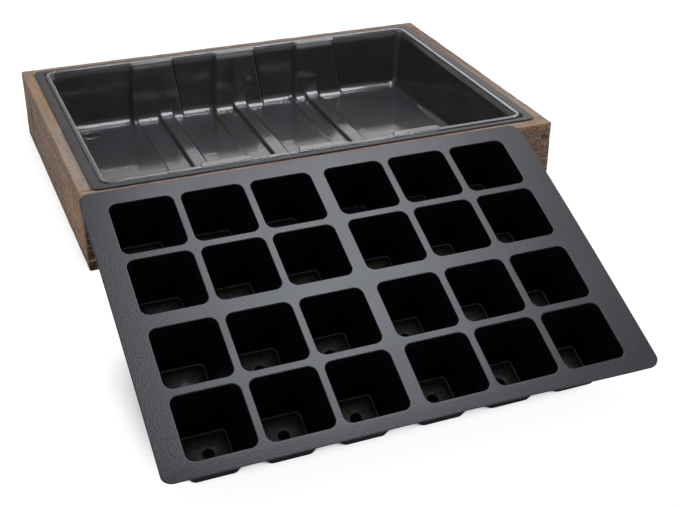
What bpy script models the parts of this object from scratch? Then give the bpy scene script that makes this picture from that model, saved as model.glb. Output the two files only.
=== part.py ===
# Seed tray: a nailed frame of rough-sawn boards, a black plastic liner that hangs in it by its
# flange, a clear plastic tray nested in the liner, and a plastic insert of twenty-four cells
# that stands tilted in front of the frame.
# Metres, +Z up. The front is -Y and the left is -X. The origin is on the ground, in the middle
# of the space that the whole set takes.

import math

import bmesh
import bpy
from mathutils import Matrix, Vector

# Clearance between pieces that lie on, in or against each other
seat_gap = 0.0003

# Frame of boards
frame_length = 0.400
frame_width = 0.284
frame_height = 0.062
board_thickness = 0.014
board_edge_round = 0.0012

# Nails, two at each corner
nail_length = 0.038
nail_shank_radius = 0.0010
nail_head_radius = 0.0018
nail_head_thickness = 0.0010
nail_point_length = 0.004
nail_height_from_edge = 0.0125
nail_sides = 10
nail_crease_angle = math.radians(40)

# Black liner, by its upper surface: the flange lies on the boards
flange_margin = 0.010
flange_corner_radius = 0.006
liner_thickness = 0.0010
liner_end_gap = 0.0025
liner_side_gap = 0.0006
mouth_corner_radius = 0.0055
shelf_drop = 0.0025
shelf_width = 0.0024

# Clear tray, by its upper surface: its rim stands on the liner's shelf
clear_thickness = 0.0008
nest_gap = 0.0005
rim_side_gap = 0.0009
rim_height = 0.0033
rim_round = 0.0006
rim_width = 0.0026
rim_corner_radius = 0.0105
ledge_drop = 0.0026
ledge_width = 0.0020
wall_draft = 0.0048
wall_corner_radius = 0.0075
floor_height = 0.0090
floor_fillet = 0.0042
corner_segments = 4

# A fillet's points from top to foot, in radii: how high above the floor, how far in from the wall
fillet_points = ((1.0, 0.0), (0.293, 0.293), (0.0, 1.0))

# Stations where the long walls step inwards, and bands and bars across the floor
rib_count = 3
station_pitch = 0.0825
station_top_width = 0.0430
station_floor_width = 0.0520
station_inset = 0.0060
station_ramp = 0.0025
station_ledge_width = 0.0010
band_pitch = 0.0780
band_width = 0.0500
band_height = 0.0007
band_ramp = 0.0008
bar_pitch = 0.0755
bar_width = 0.0120
bar_height = 0.0040
bar_ramp = 0.0012

# Cell insert, by its upper surface, in its own frame: X along a row, Y up the slope.
# Its plate is bowed, so its long edges hang lower than its middle.
cell_columns = 6
cell_rows = 4
cell_pitch = 0.0475
middle_column_gap = 0.0049
middle_row_gap = 0.0053
cell_mouth_size = 0.0425
cell_mouth_radius = 0.0055
cell_mouth_round = 0.0008
cell_depth = 0.0398
cell_bottom_size = 0.0296
cell_bottom_radius = 0.0035
cell_bottom_fillet = 0.0015
drain_hole_radius = 0.0037
cell_segments = 2
cells_shift_left = 0.0015
insert_end_margin = 0.0180
insert_side_margin = 0.0124
insert_corner_radius = 0.0080
insert_corner_segments = 4
insert_thickness = 0.0009
insert_bow = 0.0027

# Where the insert stands: its lowest cells on the ground, its upper edge in front of the frame
insert_tilt = math.radians(24.0)
insert_shift_left = 0.0575
insert_distance = 0.1019

# Sizes that follow from those above
opening_length = frame_length - 2 * board_thickness
opening_width = frame_width - 2 * board_thickness
insert_length = (
    (cell_columns - 1) * cell_pitch + middle_column_gap + cell_mouth_size + 2 * insert_end_margin
)
insert_width = (
    (cell_rows - 1) * cell_pitch + middle_row_gap + cell_mouth_size + 2 * insert_side_margin
)
nest = clear_thickness + nest_gap
liner_mouth_x = opening_length / 2 - liner_thickness - liner_end_gap
liner_mouth_y = opening_width / 2 - liner_thickness - liner_side_gap
shelf_z = frame_height + seat_gap + liner_thickness - shelf_drop
rim_inner = rim_side_gap + 2 * rim_round + rim_width
floor_x = liner_mouth_x - rim_inner - ledge_width - wall_draft
floor_y = liner_mouth_y - rim_inner - ledge_width - wall_draft
insert_reach = insert_width * math.cos(insert_tilt)
set_left = min(-frame_length / 2, -insert_shift_left - insert_length / 2)
set_right = max(frame_length / 2, -insert_shift_left + insert_length / 2)
set_depth = frame_width + insert_distance + insert_reach
frame_centre = Vector((-(set_left + set_right) / 2, (set_depth - frame_width) / 2, 0))


def clear_scene():
    for old in list(bpy.data.objects):
        bpy.data.objects.remove(old)


def material(name, colour, roughness, metallic=0.0):
    made = bpy.data.materials.new(name)
    made.use_nodes = True
    shader = made.node_tree.nodes["Principled BSDF"]
    shader.inputs["Base Color"].default_value = (*colour, 1.0)
    shader.inputs["Roughness"].default_value = roughness
    shader.inputs["Metallic"].default_value = metallic
    return made


def object_from(name, bm, finish, place):
    mesh = bpy.data.meshes.new(name)
    bm.to_mesh(mesh)
    bm.free()
    mesh.materials.append(finish)
    made = bpy.data.objects.new(name, mesh)
    bpy.context.scene.collection.objects.link(made)
    made.matrix_world = place
    return made


def subtract(target, cutter):
    cutter.hide_render = True
    cutter.display_type = "WIRE"
    cut = target.modifiers.new("cut by " + cutter.name, "BOOLEAN")
    cut.operation = "DIFFERENCE"
    cut.object = cutter


# Boards and nails


def board(name, size, centre, finish):
    """A board with eased edges, its origin in its middle."""
    bm = bmesh.new()
    bmesh.ops.create_cube(bm, size=1.0)
    bmesh.ops.scale(bm, vec=size, verts=bm.verts)
    made = object_from(name, bm, finish, Matrix.Translation(centre))
    ease = made.modifiers.new("eased edges", "BEVEL")
    ease.width = board_edge_round
    ease.segments = 2
    return made


def turned(name, profile, finish, place):
    """A turned body along its own Z from (radius, height) points, ending in a point."""
    bm = bmesh.new()
    turns = [2 * math.pi * step / nail_sides for step in range(nail_sides)]
    rings = []
    for radius, height in profile[:-1]:
        ring = [(radius * math.cos(turn), radius * math.sin(turn), height) for turn in turns]
        rings.append([bm.verts.new(point) for point in ring])
    tip = bm.verts.new((0, 0, profile[-1][1]))
    for upper, lower in zip(rings, rings[1:]):
        loop_faces(bm, upper, lower)
    last = rings[-1]
    for step in range(nail_sides):
        bm.faces.new((last[step], tip, last[(step + 1) % nail_sides]))
    bm.faces.new(rings[0])
    bmesh.ops.recalc_face_normals(bm, faces=bm.faces)
    made = object_from(name, bm, finish, place)
    made.data.shade_smooth()
    made.data.set_sharp_from_angle(angle=nail_crease_angle)
    return made


def nail_profile(grow=0.0, mouth=0.0):
    """Head first. For a hole, grow widens it all round and mouth lifts it past the surface."""
    neck = -nail_head_thickness - grow
    shank = nail_shank_radius + grow
    return [
        (nail_head_radius + grow, mouth),
        (nail_head_radius + grow, neck),
        (shank, neck - grow),
        (shank, nail_point_length - nail_length - grow),
        (0, -nail_length - 2 * grow),
    ]


def nail_places():
    """(name, matrix, board it goes through, board it ends in) for each nail."""
    levels = (("lower", nail_height_from_edge), ("upper", frame_height - nail_height_from_edge))
    for end, end_name in ((-1, "left"), (1, "right")):
        for side, side_name in ((-1, "front"), (1, "back")):
            turn = Matrix.Rotation(-side * math.pi / 2, 4, "X")
            for level, z in levels:
                x = end * (frame_length - board_thickness) / 2
                y = side * (frame_width / 2 - seat_gap)
                place = Matrix.Translation(frame_centre + Vector((x, y, z))) @ turn
                name = "_".join(("nail", side_name, end_name, level))
                yield name, place, side_name + "_board", end_name + "_board"


def build_frame(wood, steel):
    side_length = opening_width - 2 * seat_gap
    long_size = (frame_length, board_thickness, frame_height)
    short_size = (board_thickness, side_length, frame_height)
    long_offset = (frame_width - board_thickness) / 2
    short_offset = (frame_length - board_thickness) / 2
    middle = frame_height / 2
    layout = (
        ("front_board", long_size, (0, -long_offset, middle)),
        ("back_board", long_size, (0, long_offset, middle)),
        ("left_board", short_size, (-short_offset, 0, middle)),
        ("right_board", short_size, (short_offset, 0, middle)),
    )
    boards = {}
    for name, size, offset in layout:
        boards[name] = board(name, size, frame_centre + Vector(offset), wood)
    for name, place, through, into in nail_places():
        turned(name, nail_profile(), steel, place)
        hole = turned(name + "_hole", nail_profile(seat_gap, nail_head_thickness), steel, place)
        subtract(boards[through], hole)
        subtract(boards[into], hole)


# Formed sheets


def rounded_loop(half_x, half_y, radius, segments):
    """Corner points of a rounded rectangle, counter-clockwise from its front right corner."""
    points = []
    corners = ((1, -1), (1, 1), (-1, 1), (-1, -1))
    for quarter, (side_x, side_y) in enumerate(corners):
        for step in range(segments + 1):
            turn = (quarter - 1 + step / segments) * math.pi / 2
            x = side_x * (half_x - radius) + radius * math.cos(turn)
            y = side_y * (half_y - radius) + radius * math.sin(turn)
            points.append((x, y))
    return points


def station_points(half_y, inset, width):
    """Points along the back wall, from right to left, which steps in at each station."""
    points = []
    for station in reversed(range(rib_count)):
        centre = (station - (rib_count - 1) / 2) * station_pitch
        points.append((centre + width / 2, half_y))
        points.append((centre + width / 2 - station_ramp, half_y - inset))
        points.append((centre - width / 2 + station_ramp, half_y - inset))
        points.append((centre - width / 2, half_y))
    return points


def tray_loop(bm, half_x, half_y, radius, z, inset, station_width):
    """One level of a tray's wall: a rounded rectangle with stations in its long sides."""
    corners = rounded_loop(half_x, half_y, radius, corner_segments)
    right_end = 2 * (corner_segments + 1)
    back = station_points(half_y, inset, station_width)
    front = [(-x, -y) for x, y in back]
    outline = corners[:right_end] + back + corners[right_end:] + front
    return [bm.verts.new((x, y, z)) for x, y in outline]


def loop_faces(bm, upper, lower):
    for step, corner in enumerate(upper):
        following = (step + 1) % len(upper)
        bm.faces.new((corner, upper[following], lower[following], lower[step]))


def rib_places(pitch):
    return [(rib - (rib_count - 1) / 2) * pitch for rib in range(rib_count)]


def floor_strips(narrowing):
    """(pitch, width, height, ramp) of what stands up from a floor, narrower on a liner."""
    return (
        (band_pitch, band_width - narrowing, band_height, band_ramp),
        (bar_pitch, bar_width - narrowing, bar_height, bar_ramp),
    )


def floor_lift(x, narrowing):
    lift = 0.0
    for pitch, width, height, ramp in floor_strips(narrowing):
        nearest = min(abs(x - place) for place in rib_places(pitch))
        lift = max(lift, height * min(1.0, max(0.0, (width / 2 - nearest) / ramp)))
    return lift


def floor_breaks(narrowing):
    """Where the floor's profile bends, from left to right."""
    breaks = []
    for pitch, width, _height, ramp in floor_strips(narrowing):
        for place in rib_places(pitch):
            for side in (-1, 1):
                breaks.append(place + side * width / 2)
                breaks.append(place + side * (width / 2 - ramp))
    return sorted(breaks)


def form_floor(bm, floor_z, narrowing):
    """Cuts the floor and the walls round it along the profile's bends, and lifts the strips."""
    top_of_fillet = floor_z + floor_fillet + seat_gap
    for x in floor_breaks(narrowing):
        low = [face for face in bm.faces if min(v.co.z for v in face.verts) < top_of_fillet]
        edges = dict.fromkeys(edge for face in low for edge in face.edges)
        verts = dict.fromkeys(vert for face in low for vert in face.verts)
        cut = [*low, *edges, *verts]
        bmesh.ops.bisect_plane(bm, geom=cut, dist=1e-7, plane_co=(x, 0, 0), plane_no=(1, 0, 0))
    for vert in bm.verts:
        if vert.co.z < top_of_fillet:
            vert.co.z += floor_lift(vert.co.x, narrowing)


def solidify(made, thickness):
    """Gives a sheet its thickness, below and outside its upper surface."""
    shell = made.modifiers.new("sheet", "SOLIDIFY")
    shell.thickness = thickness
    shell.offset = -1
    shell.use_even_offset = True


def tray(name, rings, floor, narrowing, thickness, finish):
    """A formed tray: rings from its rim to the top of its wall, then a fillet and the floor."""
    bm = bmesh.new()
    loops = [tray_loop(bm, *ring) for ring in rings]
    half_x, half_y, radius, floor_z, inset, width = floor
    for rise, run in fillet_points:
        along = run * floor_fillet
        z = floor_z + rise * floor_fillet
        loops.append(tray_loop(bm, half_x - along, half_y - along, radius, z, inset, width))
    for upper, lower in zip(loops, loops[1:]):
        loop_faces(bm, upper, lower)
    bm.faces.new(loops[-1])
    form_floor(bm, floor_z, narrowing)
    made = object_from(name, bm, finish, Matrix.Translation(frame_centre))
    solidify(made, thickness)


def build_liner(finish):
    flange_z = frame_height + seat_gap + liner_thickness
    shelf_x = liner_mouth_x - shelf_width
    shelf_y = liner_mouth_y - shelf_width
    flange_x = frame_length / 2 - flange_margin
    flange_y = frame_width / 2 - flange_margin
    shelf_radius = wall_corner_radius + nest
    top = station_top_width - 2 * nest
    rings = (
        (flange_x, flange_y, flange_corner_radius, flange_z, 0, top),
        (liner_mouth_x, liner_mouth_y, mouth_corner_radius, flange_z, 0, top),
        (liner_mouth_x, liner_mouth_y, mouth_corner_radius, shelf_z, 0, top),
        (shelf_x, shelf_y, shelf_radius, shelf_z, station_inset, top),
    )
    floor = (
        floor_x + nest,
        floor_y + nest,
        wall_corner_radius + nest,
        floor_height - clear_thickness - seat_gap,
        station_inset,
        station_floor_width - 2 * nest,
    )
    tray("black_tray", rings, floor, 2 * nest, liner_thickness, finish)


def build_clear_tray(finish):
    """Skirt, rounded rim, ledge and wall, drawn in from the liner's mouth ring by ring."""
    foot_z = shelf_z + seat_gap
    rim_z = foot_z + rim_height
    step = station_inset
    ledge_step = station_inset - ledge_width + station_ledge_width
    inward = (
        (rim_side_gap, foot_z, 0),
        (rim_side_gap, rim_z - rim_round, 0),
        (rim_side_gap + rim_round, rim_z, 0),
        (rim_inner - rim_round, rim_z, step),
        (rim_inner, rim_z - rim_round, step),
        (rim_inner, rim_z - ledge_drop, step),
        (rim_inner + ledge_width, rim_z - ledge_drop, ledge_step),
    )
    rings = []
    for inset, z, station in inward:
        radius = max(wall_corner_radius, rim_corner_radius - inset + rim_side_gap)
        half_x = liner_mouth_x - inset
        half_y = liner_mouth_y - inset
        rings.append((half_x, half_y, radius, z, station, station_top_width))
    floor = (floor_x, floor_y, wall_corner_radius, floor_height, step, station_floor_width)
    tray("clear_tray", rings, floor, 0, clear_thickness, finish)


# Cell insert


def grid_places(count, middle_gap):
    """Centres of a row of cells that is set wider apart in its middle."""
    places = []
    for cell in range(count):
        from_middle = cell - (count - 1) / 2
        places.append(from_middle * cell_pitch + math.copysign(middle_gap / 2, from_middle))
    return places


def square_loop(bm, centre, size, radius, z):
    loop = rounded_loop(size / 2, size / 2, radius, cell_segments)
    return [bm.verts.new((centre[0] + x, centre[1] + y, z)) for x, y in loop]


def round_loop(bm, centre, radius, z):
    """As many points as a square loop has, evenly round a circle."""
    points = 4 * (cell_segments + 1)
    turns = [2 * math.pi * (step + 0.5) / points - math.pi / 2 for step in range(points)]
    return [
        bm.verts.new((centre[0] + radius * math.cos(a), centre[1] + radius * math.sin(a), z))
        for a in turns
    ]


def closed_edges(bm, loop):
    return [bm.edges.new((vert, loop[step - 1])) for step, vert in enumerate(loop)]


def cell_loops(bm, centre):
    """A tapered cell from its mouth, past its flat bottom, to the edge of its drain hole."""
    wall_top = cell_mouth_size - 2 * cell_mouth_round
    wall_radius = cell_mouth_radius - cell_mouth_round
    flat = cell_bottom_size - 2 * cell_bottom_fillet
    wall_foot = cell_bottom_fillet - cell_depth
    return [
        square_loop(bm, centre, cell_mouth_size, cell_mouth_radius, 0),
        square_loop(bm, centre, wall_top, wall_radius, -cell_mouth_round),
        square_loop(bm, centre, cell_bottom_size, cell_bottom_radius, wall_foot),
        square_loop(bm, centre, flat, cell_bottom_radius - cell_bottom_fillet, -cell_depth),
        round_loop(bm, centre, drain_hole_radius, -cell_depth),
    ]


def set_on_ground(made):
    bpy.context.view_layer.update()
    solid = made.evaluated_get(bpy.context.evaluated_depsgraph_get())
    made.location.z -= min((solid.matrix_world @ vert.co).z for vert in solid.data.vertices)


def build_insert(finish):
    bm = bmesh.new()
    half_x = insert_length / 2
    half_y = insert_width / 2
    outline = rounded_loop(half_x, half_y, insert_corner_radius, insert_corner_segments)
    rim = closed_edges(bm, [bm.verts.new((x, y, 0)) for x, y in outline])
    for x in grid_places(cell_columns, middle_column_gap):
        for y in grid_places(cell_rows, middle_row_gap):
            loops = cell_loops(bm, (x - cells_shift_left, y))
            rim += closed_edges(bm, loops[0])
            for upper, lower in zip(loops, loops[1:]):
                loop_faces(bm, upper, lower)
    plate = bmesh.ops.triangle_fill(bm, edges=rim, use_beauty=True)
    for face in plate["geom"]:
        if isinstance(face, bmesh.types.BMFace) and face.normal.z < 0:
            face.normal_flip()
    for vert in bm.verts:
        vert.co.z -= insert_bow * (vert.co.y / half_y) ** 2
    hang = insert_bow * math.sin(insert_tilt)
    reach = frame_width / 2 + insert_distance + insert_reach / 2 + hang
    stand = Matrix.Translation(frame_centre + Vector((-insert_shift_left, -reach, 0)))
    made = object_from("cell_insert", bm, finish, stand @ Matrix.Rotation(insert_tilt, 4, "X"))
    solidify(made, insert_thickness)
    set_on_ground(made)


clear_scene()
build_frame(
    material("stained wood", (0.18, 0.125, 0.09), 0.8),
    material("nail steel", (0.30, 0.28, 0.27), 0.5, 1.0),
)
build_liner(material("black plastic", (0.055, 0.055, 0.06), 0.5))
build_clear_tray(material("clear plastic", (0.45, 0.52, 0.50), 0.1))
build_insert(material("satin black plastic", (0.09, 0.10, 0.12), 0.45))
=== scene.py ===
import math
from itertools import product

import bmesh
import bpy
from mathutils import Matrix, Vector, noise


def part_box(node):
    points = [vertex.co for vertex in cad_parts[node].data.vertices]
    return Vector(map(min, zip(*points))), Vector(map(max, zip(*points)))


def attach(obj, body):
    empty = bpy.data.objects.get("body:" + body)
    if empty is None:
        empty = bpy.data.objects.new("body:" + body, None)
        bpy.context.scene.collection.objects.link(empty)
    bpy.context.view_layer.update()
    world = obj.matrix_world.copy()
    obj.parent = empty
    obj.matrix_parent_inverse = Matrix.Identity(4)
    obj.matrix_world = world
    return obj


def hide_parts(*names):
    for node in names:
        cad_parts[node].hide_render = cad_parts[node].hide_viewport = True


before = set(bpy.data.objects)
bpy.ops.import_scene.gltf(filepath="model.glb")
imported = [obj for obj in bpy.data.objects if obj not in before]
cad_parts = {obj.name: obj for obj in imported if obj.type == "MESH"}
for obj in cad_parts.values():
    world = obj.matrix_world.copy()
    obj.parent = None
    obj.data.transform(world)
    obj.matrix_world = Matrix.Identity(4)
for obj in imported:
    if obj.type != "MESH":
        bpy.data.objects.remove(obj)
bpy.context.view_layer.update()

mm = 0.001


# Small helpers for materials

def linearColour(hexValue):
    channels = [int(hexValue[i:i + 2], 16) / 255 for i in (1, 3, 5)]
    linear = [c / 12.92 if c <= 0.04045 else ((c + 0.055) / 1.055) ** 2.4 for c in channels]
    return (*linear, 1.0)


def addNode(tree, kind, settings=None, inputs=None):
    # inputs take a value, a hex colour or another node's socket
    node = tree.nodes.new("ShaderNode" + kind)
    for name, value in (settings or {}).items():
        setattr(node, name, value)
    for name, value in (inputs or {}).items():
        if isinstance(value, bpy.types.NodeSocket):
            tree.links.new(value, node.inputs[name])
        elif isinstance(value, str):
            node.inputs[name].default_value = linearColour(value)
        else:
            node.inputs[name].default_value = value
    return node


def computed(tree, operation, *values, clamped=False):
    settings = {"operation": operation, "use_clamp": clamped}
    return addNode(tree, "Math", settings, dict(enumerate(values))).outputs[0]


def onVector(tree, operation, vector, by):
    return addNode(tree, "VectorMath", {"operation": operation}, {0: vector, 1: by}).outputs[0]


def ranged(tree, value, low, high, toLow=0.0, toHigh=1.0, kind="SMOOTHSTEP"):
    inputs = {"Value": value, "From Min": low, "From Max": high, "To Min": toLow, "To Max": toHigh}
    return addNode(tree, "MapRange", {"interpolation_type": kind}, inputs).outputs[0]


def mixed(tree, factor, first, second, kind="MIX"):
    settings = {"data_type": "RGBA", "blend_type": kind}
    return addNode(tree, "Mix", settings, {0: factor, 6: first, 7: second}).outputs[2]


def mixedShader(tree, factor, first, second):
    return shaded(tree, "MixShader", {0: factor, 1: first, 2: second})


def toned(tree, value, stops):
    # stops are (place, hex colour) pairs, in rising order
    ramp = addNode(tree, "ValToRGB", None, {"Fac": value})
    elements = ramp.color_ramp.elements
    while len(elements) < len(stops):
        elements.new(1.0)
    for element, (place, colour) in zip(elements, stops):
        element.position = place
        element.color = linearColour(colour)
    return ramp.outputs["Color"]


def attributeOf(tree, name, output="Fac"):
    return addNode(tree, "Attribute", {"attribute_name": name}).outputs[output]


def patchy(tree, size, detail, rough):
    # noise whose patches are about size mm wide
    return addNode(tree, "TexNoise", None, {
        "Vector": addNode(tree, "TexCoord").outputs["Object"], "Scale": 1 / (size * mm), "Detail": detail,
        "Roughness": rough}).outputs["Fac"]


def bumped(tree, height, strength, depth):
    return addNode(tree, "Bump", None, {
        "Strength": strength, "Distance": depth * mm, "Height": height}).outputs["Normal"]


def shaded(tree, kind, inputs):
    return addNode(tree, kind, None, inputs).outputs[0]


def raysOf(tree, *kinds):
    # 1 for rays of these kinds
    path = addNode(tree, "LightPath")
    found = path.outputs["Is " + kinds[0] + " Ray"]
    for kind in kinds[1:]:
        found = computed(tree, "MAXIMUM", found, path.outputs["Is " + kind + " Ray"])
    return found


def newMaterial(name):
    made = bpy.data.materials.new(name)
    made.use_nodes = True
    made.node_tree.nodes.clear()
    return made, made.node_tree


def showSurface(tree, surface):
    addNode(tree, "OutputMaterial", None, {"Surface": surface})


# Small helpers for meshes

def smoothStep(t):
    t = min(1.0, max(0.0, t))
    return t * t * (3 - 2 * t)


def between(first, second, share):
    return [a + (b - a) * share for a, b in zip(first, second)]


def arcRound(x, y, radius, quarter, steps):
    # points on a quarter circle, counter-clockwise. Quarter 0 starts on the right
    turns = [math.radians(90 * (quarter + step / steps)) for step in range(steps + 1)]
    return [(x + radius * math.cos(turn), y + radius * math.sin(turn)) for turn in turns]


def quarterTurn(steps):
    # the sine of each turn from 0 to 90 degrees, and what its cosine lacks of 1
    turns = [math.pi / 2 * step / steps for step in range(steps + 1)]
    return [(math.sin(turn), 1 - math.cos(turn)) for turn in turns]


def meshPiece(name, points, faces):
    mesh = bpy.data.meshes.new(name)
    mesh.from_pydata(points, [], faces)
    mesh.update()
    piece = bpy.data.objects.new(name, mesh)
    bpy.context.scene.collection.objects.link(piece)
    mesh.shade_smooth()
    return piece


def ringedFaces(levels, count):
    # between rings of count points each
    faces = []
    for first in range(0, (levels - 1) * count, count):
        for i in range(count):
            j = (i + 1) % count
            faces.append((first + i, first + j, first + count + j, first + count + i))
    return faces


def applyModifiers(piece):
    bpy.context.view_layer.update()
    solid = piece.evaluated_get(bpy.context.evaluated_depsgraph_get())
    mesh = bpy.data.meshes.new_from_object(solid)
    piece.modifiers.clear()
    piece.data = mesh


def thicken(piece, thickness, undersideFinish=0):
    # thickness is in mm, under the given surface. undersideFinish is how much further down the list of
    # finishes that of the underside stands
    shell = piece.modifiers.new("sheet", "SOLIDIFY")
    shell.thickness = thickness * mm
    shell.offset = -1
    shell.material_offset = undersideFinish
    even = piece.modifiers.new("even shading", "WEIGHTED_NORMAL")
    even.mode = "FACE_AREA"
    applyModifiers(piece)


def giveFinish(piece, made):
    piece.data.materials.clear()
    piece.data.materials.append(made)


# Where the wooden frame stands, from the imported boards
frontLow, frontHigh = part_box("front_board")
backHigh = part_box("back_board")[1]
frameCentre = Vector(((frontLow.x + frontHigh.x) / 2, (frontLow.y + backHigh.y) / 2, 0))
woodTop = frontHigh.z


# Stage: camera, floor, world and lamps

shot = {
    "place": (-317.6, -934.4, 456.1),  # mm from the middle of the frame, on the ground
    "heading": 22.22,  # degrees to the right of straight ahead
    "dip": 29.40,  # degrees under level
    "roll": 0.38,
    "lens": 62.57,
    "sensor": 36.0,
    "nearest": 0.01,  # m
}

light = {
    "ambient": 0.52,  # what the room gives to dull surfaces
    "dimFront": 0.35,  # what gloss sees of the room in front, where no white wall stands
    "frontFade": (-0.55, 0.05),  # between which directions it grows dim
    "dimLeft": 0.33,  # and to the left
    "leftFade": (0.05, 0.30),
    "floorColour": "#e6e6e6",
    "floorSize": 4.0,  # m, half its width
    "floorWhite": 0.75,  # share of the seen floor that only things over it darken
    "floorGlow": 1.25,
    "shadowColour": "#202020",
    "shadowReach": 0.20,  # m, how far over the floor such a thing may be
    "shadowFrom": (0.12, -0.8, 0.58),  # it counts most in this direction from the floor
    "shadowSpan": (0.35, 0.60),  # how open the floor is where it is darkest and where it is white
    "shadowSamples": 64,
}

lamps = {
    "overheadSoftbox": {
        "size": (0.64, 0.95), "place": (0.36, 0.065, 1.35), "radiance": 4.2,
        "down": (0, 0, -1), "across": (1, 0, 0),
    },
    "leftSoftbox": {
        "size": (0.9, 1.0), "place": (-1.5, -0.6, 0.8), "radiance": 0.9,
        "down": (0.88, 0, -0.47), "across": (0, -1, 0),
    },
}


def buildCamera():
    camera = bpy.data.objects.new("photoCamera", bpy.data.cameras.new("photoCamera"))
    camera.data.lens = shot["lens"]
    camera.data.sensor_width = shot["sensor"]
    camera.data.clip_start = shot["nearest"]
    turn = Matrix.Rotation(math.radians(-shot["heading"]), 4, "Z")
    tip = Matrix.Rotation(math.radians(90 - shot["dip"]), 4, "X")
    roll = Matrix.Rotation(math.radians(shot["roll"]), 4, "Z")
    place = frameCentre + Vector(shot["place"]) * mm
    camera.matrix_world = Matrix.Translation(place) @ turn @ tip @ roll
    bpy.context.scene.collection.objects.link(camera)
    bpy.context.scene.camera = camera


def softbox(name, size, place, radiance, down, across):
    # size, in m, is along across and square to it
    lamp = bpy.data.lights.new(name, "AREA")
    lamp.shape = "RECTANGLE"
    lamp.size, lamp.size_y = size
    lamp.energy = radiance * math.pi * size[0] * size[1]
    holder = bpy.data.objects.new(name, lamp)
    back = -Vector(down).normalized()
    side = Vector(across)
    turn = Matrix((side, back.cross(side), back)).transposed().to_4x4()
    holder.matrix_world = Matrix.Translation(place) @ turn
    bpy.context.scene.collection.objects.link(holder)


def buildRoom():
    # The camera sees it white all round, gloss and clear plastic see it dimmer in front and on the left
    room = bpy.data.worlds.new("whiteRoom")
    bpy.context.scene.world = room
    room.use_nodes = True
    tree = room.node_tree
    tree.nodes.clear()
    way = addNode(tree, "TexCoord")
    parts = addNode(tree, "SeparateXYZ", None, {0: way.outputs["Generated"]})
    front = ranged(tree, parts.outputs["Y"], *light["frontFade"], light["dimFront"])
    left = ranged(tree, parts.outputs["X"], *light["leftFade"], light["dimLeft"])
    dimmed = computed(tree, "MULTIPLY", front, left)
    gloss = raysOf(tree, "Glossy", "Transmission")
    unseen = ranged(tree, gloss, 0.0, 1.0, light["ambient"], dimmed, "LINEAR")
    strength = computed(tree, "MAXIMUM", unseen, raysOf(tree, "Camera"))
    background = shaded(tree, "Background", {"Color": (1, 1, 1, 1), "Strength": strength})
    addNode(tree, "OutputWorld", None, {"Surface": background})


def buildFloor():
    # White to the eye wherever nothing stands close over it, a dull surface to the light
    size = light["floorSize"]
    corners = [(-size, -size, 0), (size, -size, 0), (size, size, 0), (-size, size, 0)]
    floor = meshPiece("paleFloor", corners, [(0, 1, 2, 3)])
    floorPaint, tree = newMaterial("pale studio floor")
    matt = shaded(tree, "BsdfDiffuse", {"Color": light["floorColour"]})
    shade = shaded(tree, "BsdfDiffuse", {"Color": light["shadowColour"]})
    fromFront = shaded(tree, "CombineXYZ", dict(zip("XYZ", light["shadowFrom"])))
    near = addNode(tree, "AmbientOcclusion", {"samples": light["shadowSamples"]}, {
        "Distance": light["shadowReach"], "Normal": fromFront})
    clearAbove = ranged(tree, near.outputs["AO"], *light["shadowSpan"], 0.0, light["floorGlow"], "LINEAR")
    white = shaded(tree, "Emission", {"Color": (1, 1, 1, 1), "Strength": clearAbove})
    seen = raysOf(tree, "Glossy", "Transmission", "Camera")
    share = computed(tree, "MULTIPLY", seen, light["floorWhite"])
    both = mixedShader(tree, share, matt, white)
    covered = computed(tree, "SUBTRACT", seen, clearAbove, clamped=True)
    showSurface(tree, mixedShader(tree, covered, both, shade))
    floor.data.materials.append(floorPaint)


def buildStage():
    bpy.context.scene.view_settings.view_transform = "Standard"
    buildRoom()
    buildFloor()
    for lampName, lampPlan in lamps.items():
        softbox(lampName, **lampPlan)


buildCamera()
buildStage()
print("stage, camera and lamps set")


# Materials

# Patches are mm along the grain, mm across it, detail, roughness and distortion. A span is where in them a
# colour starts and where it is full, and how much of it shows at either.
woodLook = {
    "stain": [(0.30, "#54443b"), (0.44, "#735f53"), (0.57, "#8f7a6c"), (0.72, "#ad9686")],
    "streaks": (70, 2.4, 5.0, 0.62, 0.3),
    "coats": {  # over the stain, in this order
        "pale": ("#8d786b", (60, 14, 3.0, 0.5, 0.5), (0.38, 0.66, 0.0, 0.45)),
        "red": ("#8a6149", (85, 1.9, 4.0, 0.55, 0.4), (0.51, 0.62, 0.0, 0.75)),
        "dark": ("#463a33", (48, 1.5, 4.0, 0.6, 0.5), (0.56, 0.70, 0.0, 0.60)),
        # the saw's strokes, nearly square across the grain and about 2 mm apart
        "saw": ("#4a3c33", (1.3, 26, 3.0, 0.6, 0.0), (0.50, 0.68, 0.0, 0.22)),
    },
    # painted light: the tops are painted paler and greyer than the sides, as lit from above
    "top": ("#a8978a", (40, 5, 4.0, 0.6, 0.4), (0.30, 0.62, 0.35, 0.80)),
    # painted shade: what is left of the colour where the boards lie in shade, and towards the ground
    "paintedShadeAndFoot": ("#66594f", (45, 2.6, 2.0, 0.5, 0.4), (0.50, 0.60, 1.0, 0.30)),
    # rubbed places let the bare orange wood through
    "bare": [(0.30, "#8f6641"), (0.70, "#c79c6c")],
    "barePatches": ((16, 3.5, 4.0, 0.6), (0.36, 0.58)),
    "knot": [(0.0, "#4a3226"), (0.35, "#75503a"), (0.52, "#b58f66"), (0.75, "#857060")],
    "fibres": (7, 0.9, 3.0, 0.6),
    "flecks": (3.2, 1.6, 3.0, 0.65),
    "speckle": 0.70,  # torn fibres, drawn twice as coarse as they are to show
    "topSpeckle": 0.42,
    "darkFleck": ("#3e3129", (0.30, 0.50)),
    "paleFleck": ("#c4ae9a", (0.54, 0.72)),
    "sawRelief": 0.8,  # beside that of the fibres
    "fleckRelief": 0.7,
    "relief": 0.55,
    "reliefDepth": 0.5,  # mm
    "roughness": (0.92, 0.76),
    "shine": 0.28,
}


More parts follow.
